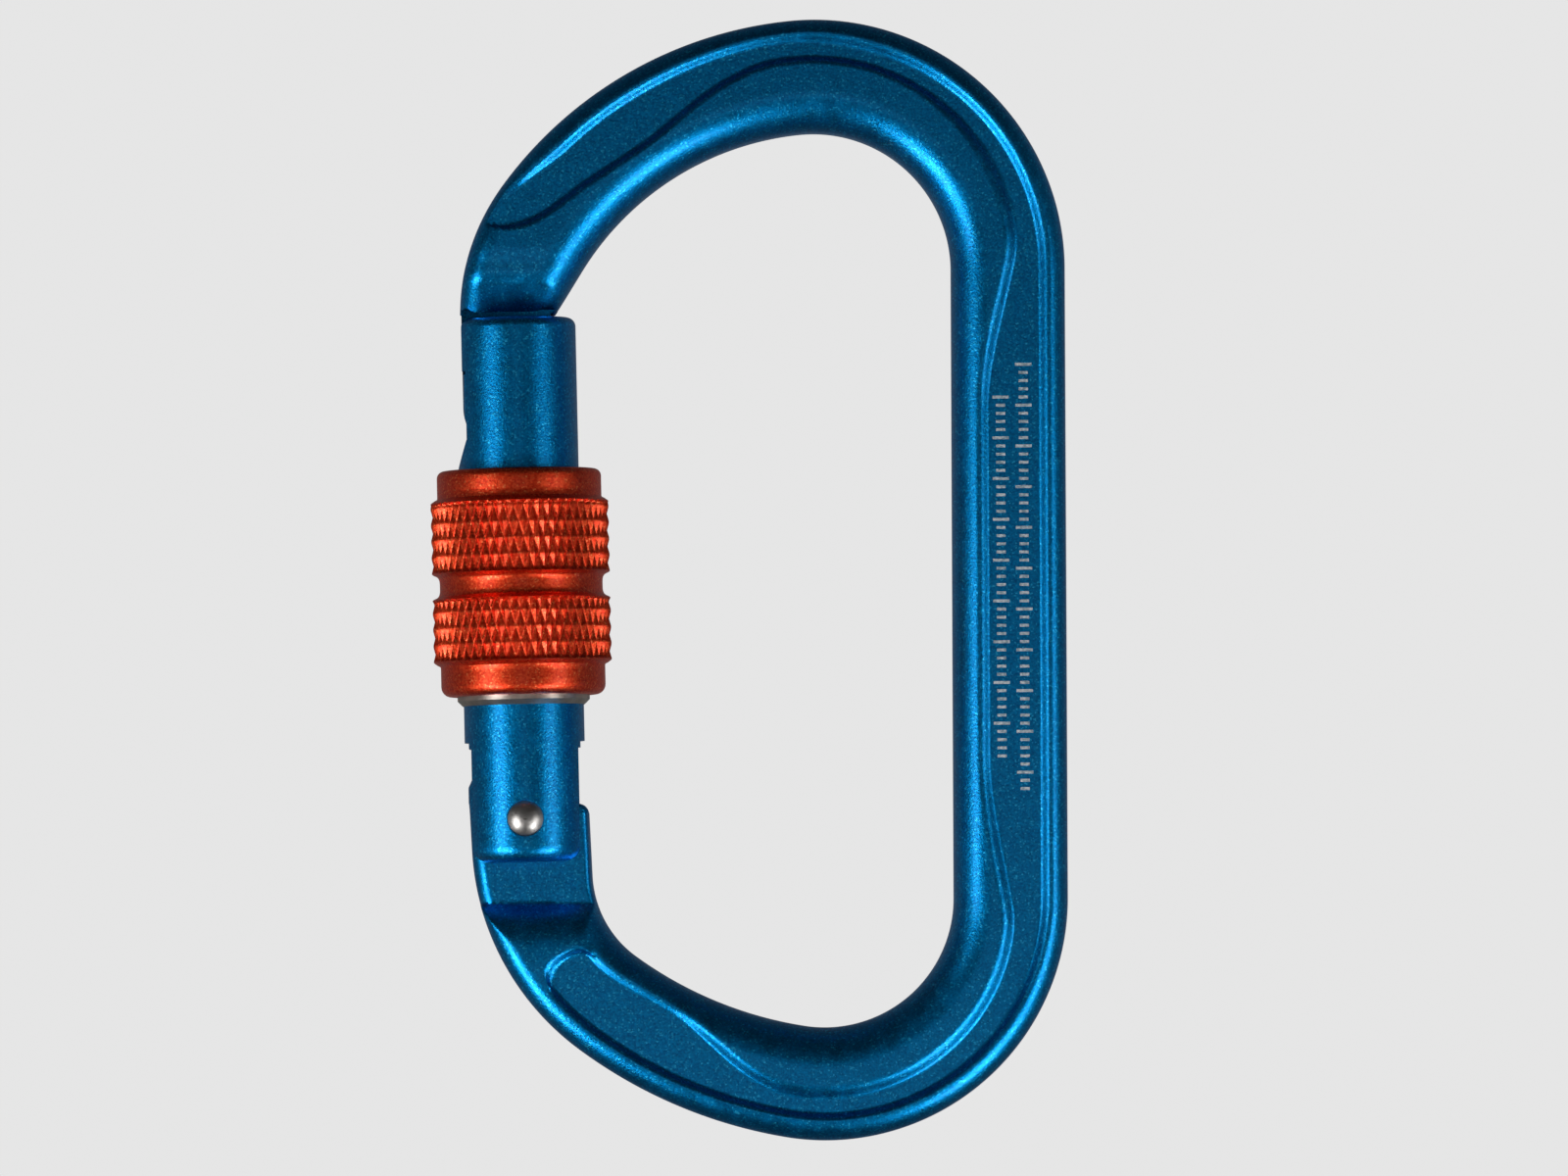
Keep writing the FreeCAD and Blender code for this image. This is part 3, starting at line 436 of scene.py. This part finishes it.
def nose_from_cad(thing):
    """Adds the nose, which hangs in the gate's slot, to the frame from its CAD node's own mesh."""
    copy = bmesh.new()
    copy.from_mesh(frame["nodes"]["frame"].data)
    planes = (
        ((0, 0, (NECK_Z + NOSE_LAP) * MM), (0, 0, 1)),
        ((0, 0, NOSE_LOW * MM), (0, 0, -1)),
        ((NOSE_IN * MM, 0, 0), (1, 0, 0)),
    )
    for place, way in planes:
        cut = bmesh.ops.bisect_plane(
            copy, geom=[*copy.verts, *copy.edges, *copy.faces], plane_co=place, plane_no=way,
            clear_outer=True,
        )
        edges = [e for e in cut["geom_cut"] if isinstance(e, bmesh.types.BMEdge)]
        bmesh.ops.holes_fill(copy, edges=edges)
    bmesh.ops.remove_doubles(copy, verts=copy.verts, dist=NOSE_MERGE * MM)
    to_gate = TO_HINGE.inverted()
    for level in NOSE_LEVELS:
        bmesh.ops.bisect_plane(
            copy, geom=[*copy.verts, *copy.edges, *copy.faces],
            plane_co=TO_HINGE @ Vector((0, 0, level * MM)), plane_no=Vector((LEAN, 0, -1)),
        )
    for vert in copy.verts:
        here = to_gate @ vert.co / MM
        below = max(0.0, NOSE_CURVE_TOP - here.z)
        here.x = max(here.x, -NOSE_SIDE + NOSE_CURVE - math.sqrt(NOSE_CURVE**2 - below**2))
        for cad_half, half in NOSE_HALVES:
            if abs(abs(here.y) - cad_half) < NOSE_NEAR:
                here.y = math.copysign(half, here.y)
        vert.co = TO_HINGE @ (here * MM)
    nose = bpy.data.meshes.new("nose")
    copy.to_mesh(nose)
    copy.free()
    nose.set_sharp_from_angle(angle=math.radians(NOSE_SHARP))
    both = bmesh.new()
    both.from_mesh(thing.data)
    both.from_mesh(nose)
    both.to_mesh(thing.data)
    both.free()
    bpy.data.meshes.remove(nose)


# Columns of marks in the spine's front panel: (middle, highest, lowest).
MARK_COLUMNS = ((20.55, -23.0, -64.3), (18.3, -26.2, -61.1))
MARK_STEP, MARK_HIGH, MARK_PROUD, MARK_SUNK = 0.8, 0.28, 0.012, 0.03
MARK_WIDE, MARK_SHORT, MARKS_TO_WIDE = 1.6, 0.9, 5


def make_marks():
    """Plain graduation bars etched in the spine's front panel, every fifth one full width."""
    floor = HALF_DEPTH - PANEL_SUNK
    points, faces = [], []
    for middle, high, low in MARK_COLUMNS:
        for n in range(round((high - low) / MARK_STEP) + 1):
            half = (MARK_SHORT if n % MARKS_TO_WIDE else MARK_WIDE) / 2
            z = high - n * MARK_STEP
            first = len(points)
            for y in (MARK_SUNK - floor, -MARK_PROUD - floor):
                for x_way, z_way in ((-1, -1), (1, -1), (1, 1), (-1, 1)):
                    points.append((middle + x_way * half, y, z + z_way * MARK_HIGH / 2))
            corners = [(0, 1, 2, 3), (7, 6, 5, 4)]
            corners += [(a + 4, (a + 1) % 4 + 4, (a + 1) % 4, a) for a in range(4)]
            faces += [tuple(first + corner for corner in face) for face in corners]
    return piece("etched_graduations", points, faces, "frame")


# ---------------------------------------------------------------- the sleeve

# Heights are from the sleeve's lower end. The radii are over the knurl, of the two plain end rings and
# of the waist between the knurled bands.
SLEEVE_LOW, SLEEVE_LONG = 12.15, 22.2
GRIP, PLAIN, WAIST = 8.75, 8.075, 8.0
LOW_ROUND, HIGH_ROUND = 1.0, 0.7
LOW_BAND, HIGH_BAND = (3.42, 9.5), (12.1, 19.0)
WAIST_LOW, WAIST_HIGH, WAIST_FLARE = 9.9, 11.7, 0.14
# down the inside: the upper mouth, the clear bore, the thread's crests and the seat of the ring
INSIDE = (
    (SLEEVE_LONG, 6.55), (21.9, 6.2), (21.7, 6.15), (6.3, 6.15), (6.15, 5.98), (1.75, 5.98), (1.68, 6.58),
    (0, 6.58),
)

# The knurl has this many diamonds round, each this high, cut this deep by grooves that take this share
# of a diamond, and it fades out towards a band's ends.
COLUMNS, ROW_HEIGHT, KNURL_DEEP, GROOVE_SHARE, KNURL_FADE = 54, 3.2, 0.40, 0.92, 0.25
SEGMENTS = COLUMNS * 10
SLEEVE_SHARP = 50


def knurl(angle, height, low, high):
    """How far the diamond knurl is cut in: two crossing sets of V grooves, faded at a band's ends."""
    turn = angle * COLUMNS / (2 * math.pi)
    lift = (height - low) / ROW_HEIGHT
    depth = 0.0
    for way in (1, -1):
        phase = np.mod(turn + way * lift, 1)
        depth = np.maximum(depth, 1 - 2 * np.minimum(phase, 1 - phase) / GROOVE_SHARE)
    faded = smooth((height - low) / KNURL_FADE) * smooth((high - height) / KNURL_FADE)
    return KNURL_DEEP * np.clip(depth, 0, 1) * faded


def arc(height, radius, size, first, last, count=7):
    """(height, radius) along a rounding of that size, between two angles, about a centre."""
    angles = np.radians(np.linspace(first, last, count))
    return [(height + size * math.sin(a), radius + size * math.cos(a)) for a in angles]


def sleeve_outside():
    """(height, radius, the knurled band that it is in or None), up the sleeve's outside."""
    middle, half = (WAIST_LOW + WAIST_HIGH) / 2, (WAIST_HIGH - WAIST_LOW) / 2
    waist = [
        (z, WAIST + WAIST_FLARE * ((z - middle) / half) ** 4) for z in np.linspace(WAIST_LOW, WAIST_HIGH, 13)
    ]
    stretches = (
        (arc(LOW_ROUND, PLAIN - LOW_ROUND, LOW_ROUND, -90, 0), None),
        ([(z, PLAIN) for z in (1.6, 2.3, 2.9)], None),
        (((3.0, PLAIN + 0.06), (3.12, PLAIN + 0.3), (3.3, GRIP - 0.12)), None),
        ([(z, GRIP) for z in np.linspace(*LOW_BAND, 49)], LOW_BAND),
        (((9.6, GRIP - 0.12), (9.75, GRIP - 0.45)), None),
        (waist, None),
        (((11.85, GRIP - 0.45), (12.0, GRIP - 0.12)), None),
        ([(z, GRIP) for z in np.linspace(*HIGH_BAND, 55)], HIGH_BAND),
        (((19.1, GRIP - 0.12), (19.28, PLAIN + 0.3), (19.4, PLAIN + 0.06)), None),
        ([(z, PLAIN) for z in (19.5, 20.2, 21.0)], None),
        (arc(SLEEVE_LONG - HIGH_ROUND, PLAIN - HIGH_ROUND, HIGH_ROUND, 0, 90), None),
    )
    return [(z, radius, band) for points, band in stretches for z, radius in points]


def lathe(rows, angle):
    """Points and faces of a closed ring section turned about Z; rows hold (height, radii)."""
    segments, count = len(angle), len(rows)
    points = []
    for height, radius in rows:
        radius = np.broadcast_to(radius, angle.shape)
        level = np.full(segments, height)
        points.append(np.stack([radius * np.cos(angle), radius * np.sin(angle), level], 1))
    faces = []
    for row in range(count):
        here, above = row * segments, (row + 1) % count * segments
        for n in range(segments):
            m = (n + 1) % segments
            faces.append((here + n, here + m, above + m, above + n))
    return np.concatenate(points), faces


def make_sleeve():
    """The screw sleeve, knurled in two bands, where it stands on the gate."""
    angle = np.linspace(0, 2 * math.pi, SEGMENTS, endpoint=False)
    turned = []
    for height, radius, band in sleeve_outside():
        cut = knurl(angle, np.full(SEGMENTS, height), *band) if band else 0.0
        turned.append((SLEEVE_LOW + height, radius - cut))
    turned += [(SLEEVE_LOW + height, radius) for height, radius in INSIDE]
    points, faces = lathe(turned, angle)
    thing = piece("screw_sleeve", points, faces, "sleeve", "lock_sleeve", sharp=SLEEVE_SHARP)
    thing.data.transform(TO_HINGE)
    return thing


# ---------------------------------------------------------------- materials


class Tree:
    """A node tree, with short ways to add and link nodes.

    A socket is named by its own name, with _ for a space, or by _ and its number.
    """

    def __init__(self, tree):
        self.tree = tree

    def add(self, kind, **inputs):
        node = self.tree.nodes.new(kind)
        for name, value in inputs.items():
            self.put(node, name, value)
        return node

    def put(self, node, name, value):
        """Links a socket's value to another's output, or sets it."""
        socket = node.inputs[int(name[1:]) if name[0] == "_" else name.replace("_", " ")]
        if isinstance(value, bpy.types.NodeSocket):
            self.tree.links.new(value, socket)
        else:
            socket.default_value = value

    def maths(self, operation, *values):
        node = self.tree.nodes.new("ShaderNodeMath")
        node.operation = operation
        for n, value in enumerate(values):
            self.put(node, f"_{n}", value)
        return node.outputs[0]

    def between(self, value, low, high, first=0.35, last=0.65):
        """Runs from low to high as the value goes from first to last."""
        node = self.add("ShaderNodeMapRange", _0=value, _1=first, _2=last, _3=low, _4=high)
        return node.outputs[0]


class Nodes(Tree):
    """A material of one Principled shader, its constants given by the sockets' names."""

    def __init__(self, name, **settings):
        self.material = bpy.data.materials.new(name)
        self.material.use_nodes = True
        super().__init__(self.material.node_tree)
        self.shader = self.tree.nodes["Principled BSDF"]
        self.place = self.add("ShaderNodeTexCoord").outputs["Object"]
        self.shade(**settings)

    def shade(self, **inputs):
        for name, value in inputs.items():
            self.put(self.shader, name, value)

    def noise(self, size_mm, detail=2.0, stretch=None):
        source = self.place
        if stretch:
            source = self.add("ShaderNodeMapping", Vector=self.place, Scale=stretch).outputs["Vector"]
        node = self.add("ShaderNodeTexNoise", Vector=source, Scale=1 / (size_mm * MM), Detail=detail)
        return node.outputs["Fac"]

    def painted_glints(self, size_mm, share_left_plain):
        """Scattered painted glints: cells whose random value is over a limit, where the base colour is
        lifted to stand in for the glints of a blasted grain.
        """
        cells = self.add("ShaderNodeTexVoronoi", Vector=self.place, Scale=1 / (size_mm * MM))
        apart = self.add("ShaderNodeSeparateColor", Color=cells.outputs["Color"])
        return self.between(apart.outputs[0], 0, 1, share_left_plain, 1)

    def mixed(self, share, first, second):
        """A colour that goes from the first to the second with the share; each is (r, g, b) or a socket."""
        node = self.tree.nodes.new("ShaderNodeMix")
        node.data_type = "RGBA"
        self.put(node, "_0", share)
        for name, colour in (("_6", first), ("_7", second)):
            self.put(node, name, (*colour, 1) if isinstance(colour, tuple) else colour)
        return node.outputs[2]

    def bump(self, height, depth_mm, strength, after=None):
        node = self.add("ShaderNodeBump", Strength=strength, Distance=depth_mm * MM, Height=height)
        if after:
            self.put(node, "Normal", after)
        return node.outputs["Normal"]


def blasted_blue(name):
    """Bead-blasted, blue-anodised aluminium: a fine grain under a thin clear oxide, with painted glints in
    its base colour.
    """
    nodes = Nodes(name, Metallic=1.0, Coat_Weight=0.08, Coat_Roughness=0.2, Coat_IOR=1.6)
    grain = nodes.noise(0.22)
    patches = nodes.noise(1.4, detail=3.0)
    tone = nodes.mixed(nodes.between(grain, 0, 1, 0.3, 0.7), (0.0, 0.155, 0.44), (0.002, 0.30, 0.68))
    fine = nodes.bump(grain, depth_mm=0.03, strength=0.9)
    nodes.shade(
        # the pale cyan cells are painted glints: the base colour is lifted in scattered cells to stand in
        # for the glints of the blasted grain
        Base_Color=nodes.mixed(nodes.painted_glints(0.15, share_left_plain=0.88), tone, (0.03, 0.52, 0.92)),
        Roughness=nodes.between(patches, 0.33, 0.41),
        Normal=nodes.bump(patches, depth_mm=0.03, strength=0.3, after=fine),
    )
    return nodes.material


def satin_red():
    """Orange-red anodised aluminium, turned and lightly blasted, so its grain runs round the sleeve; painted
    glints lift its base colour in scattered cells.
    """
    nodes = Nodes("anodised_orange_red", Metallic=1.0, Coat_Weight=0.25, Coat_Roughness=0.25)
    grain = nodes.noise(0.25)
    turned = nodes.noise(0.12, stretch=(0.12, 0.12, 1.0))
    tone = nodes.mixed(nodes.between(grain, 0, 1), (0.66, 0.028, 0.006), (0.90, 0.09, 0.025))
    fine = nodes.bump(turned, depth_mm=0.012, strength=0.6)
    nodes.shade(
        # the pale orange cells are painted glints: the base colour is lifted in scattered cells to stand in
        # for the glints of the grain
        Base_Color=nodes.mixed(nodes.painted_glints(0.14, share_left_plain=0.9), tone, (1.0, 0.24, 0.08)),
        Roughness=nodes.between(turned, 0.38, 0.48),
        Normal=nodes.bump(grain, depth_mm=0.025, strength=0.8, after=fine),
    )
    return nodes.material


def etched():
    """Laser-etched aluminium: pale, matt and slightly broken up."""
    nodes = Nodes("etched_pale_grey", Metallic=0.3, Roughness=0.6)
    grain = nodes.noise(0.3, detail=3.0)
    nodes.shade(
        Base_Color=nodes.mixed(nodes.between(grain, 0, 1), (0.22, 0.32, 0.38), (0.62, 0.66, 0.68)),
        Normal=nodes.bump(grain, depth_mm=0.01, strength=0.5),
    )
    return nodes.material


def steel(name, tone, roughness):
    """Turned stainless steel with a fine random grain and faint stains."""
    nodes = Nodes(name, Metallic=1.0)
    stains = nodes.noise(1.1, detail=3.0)
    fine = nodes.noise(0.1)
    stained = tuple(0.72 * value for value in tone)
    nodes.shade(
        Base_Color=nodes.mixed(nodes.between(stains, 0, 1), stained, tone),
        Roughness=nodes.between(fine, roughness - 0.06, roughness + 0.06),
        Normal=nodes.bump(fine, depth_mm=0.006, strength=0.3),
    )
    return nodes.material


def dress(thing, material):
    """Gives an object one material, set on the object where it is a CAD node."""
    if "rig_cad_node" in thing:
        for place in thing.material_slots:
            place.link = "OBJECT"
            place.material = material
    else:
        thing.data.materials.clear()
        thing.data.materials.append(material)


# ---------------------------------------------------------------- studio

LOOK_AT = Vector((-3.0 * MM, 0, -44.7 * MM))
# The camera is far off and a little below the carabiner, which hardly foreshortens it.
CAMERA_FAR, SHOWN_WIDE, SENSOR = 1.5, 154.1 * MM, 36
CAMERA_BELOW, CAMERA_ROLL = math.radians(2), math.radians(-0.25)
BACKGROUND = 0.79
FLOOR_HALF, FLOOR_Z = 1.5, -0.6


def grey(level):
    return level, level, level, 1


def add_object(name, data):
    thing = bpy.data.objects.new(name, data)
    bpy.context.scene.collection.objects.link(thing)
    return thing


def soft_box(name, azimuth, elevation, distance, width, height, power):
    """An area light that faces the carabiner; azimuth 0 is the camera's side."""
    light = bpy.data.lights.new(name, "AREA")
    light.shape = "RECTANGLE"
    light.size, light.size_y, light.energy = width, height, power
    lamp = add_object(name, light)
    turn, lift = math.radians(azimuth), math.radians(elevation)
    way = Vector((math.sin(turn) * math.cos(lift), -math.cos(turn) * math.cos(lift), math.sin(lift)))
    lamp.location = LOOK_AT + way * distance
    lamp.rotation_euler = way.to_track_quat("Z", "Y").to_euler()


def make_lights():
    """On each side a box beside the carabiner and one below it, and a wide one in front."""
    for side, share, azimuth, elevation in ((-1, 1.1, 48, -28), (1, 0.95, 42, -38)):
        soft_box(
            f"side_box_{side}", azimuth=side * 51, elevation=-12, distance=0.45, width=0.16, height=0.22,
            power=0.36 * share,
        )
        soft_box(
            f"low_box_{side}", azimuth=side * azimuth, elevation=elevation, distance=0.42, width=0.14,
            height=0.18, power=0.6 * share,
        )
    soft_box("front_box", azimuth=0, elevation=-6, distance=1.7, width=0.5, height=0.5, power=0.5)


def make_camera():
    data = bpy.data.cameras.new("camera")
    data.sensor_width = SENSOR
    data.lens = data.sensor_width * CAMERA_FAR / SHOWN_WIDE
    camera = add_object("camera", data)
    way = Vector((0, -math.cos(CAMERA_BELOW), -math.sin(CAMERA_BELOW)))
    place = Matrix.Translation(LOOK_AT + way * CAMERA_FAR)
    facing = way.to_track_quat("Z", "Y").to_matrix().to_4x4()
    camera.matrix_world = place @ facing @ Matrix.Rotation(CAMERA_ROLL, 4, "Z")
    bpy.context.scene.camera = camera


def make_world():
    """A pale seamless background, with dimmer light than it shows, mostly level and from behind."""
    world = bpy.data.worlds.new("studio")
    bpy.context.scene.world = world
    world.use_nodes = True
    nodes = Tree(world.node_tree)
    shown = nodes.tree.nodes["Background"]
    nodes.put(shown, "Color", grey(BACKGROUND))
    way = nodes.add("ShaderNodeTexCoord").outputs["Generated"]
    apart = nodes.add("ShaderNodeSeparateXYZ", _0=way)
    behind = nodes.between(apart.outputs["Y"], 0.04, 0.16, first=-0.5, last=0.3)
    level = nodes.between(nodes.maths("ABSOLUTE", apart.outputs["Z"]), 1.0, 0.45, first=0.3, last=0.8)
    strength = nodes.maths("MULTIPLY", behind, level)
    lit = nodes.add("ShaderNodeBackground", Color=grey(1), Strength=strength)
    seen = nodes.add("ShaderNodeLightPath").outputs["Is Camera Ray"]
    mix = nodes.add("ShaderNodeMixShader", _0=seen, _1=lit.outputs[0], _2=shown.outputs[0])
    nodes.put(nodes.tree.nodes["World Output"], "Surface", mix.outputs[0])


def make_floor():
    """A pale floor well below the lights, which glows as the background does and casts no light."""
    corners = ((-1, -1), (1, -1), (1, 1), (-1, 1))
    mesh = bpy.data.meshes.new("floor")
    mesh.from_pydata([(x * FLOOR_HALF, y * FLOOR_HALF, FLOOR_Z) for x, y in corners], [], [(0, 1, 2, 3)])
    floor = add_object("floor", mesh)
    glow = Nodes(
        "pale_floor", Base_Color=grey(0.1), Roughness=0.8, Emission_Color=grey(BACKGROUND),
        Emission_Strength=0.98,
    )
    mesh.materials.append(glow.material)
    floor.visible_diffuse = False
    floor.visible_glossy = False


# ---------------------------------------------------------------- the scene

make_camera()
make_world()
make_floor()
bpy.context.scene.view_settings.view_transform = "Standard"
make_lights()

points, faces = frame_mesh()
bar = piece("forged_frame", points, faces, "frame", "frame", sharp=35)
nose_from_cad(bar)
dress(bar, blasted_blue("anodised_blue_frame"))
dress(make_marks(), etched())
dress(make_sleeve(), satin_red())
dress(frame["nodes"]["gate"], blasted_blue("anodised_blue_gate"))
dress(frame["nodes"]["gate_rivet"], steel("rivet_steel", (0.55, 0.53, 0.51), 0.38))
dress(frame["nodes"]["sleeve_ring"], steel("ring_steel", (0.58, 0.53, 0.47), 0.36))
dress(frame["nodes"]["gate_spring"], steel("spring_wire", (0.5, 0.5, 0.5), 0.25))
dress(frame["nodes"]["spring_plunger"], steel("plunger_steel", (0.55, 0.55, 0.55), 0.3))
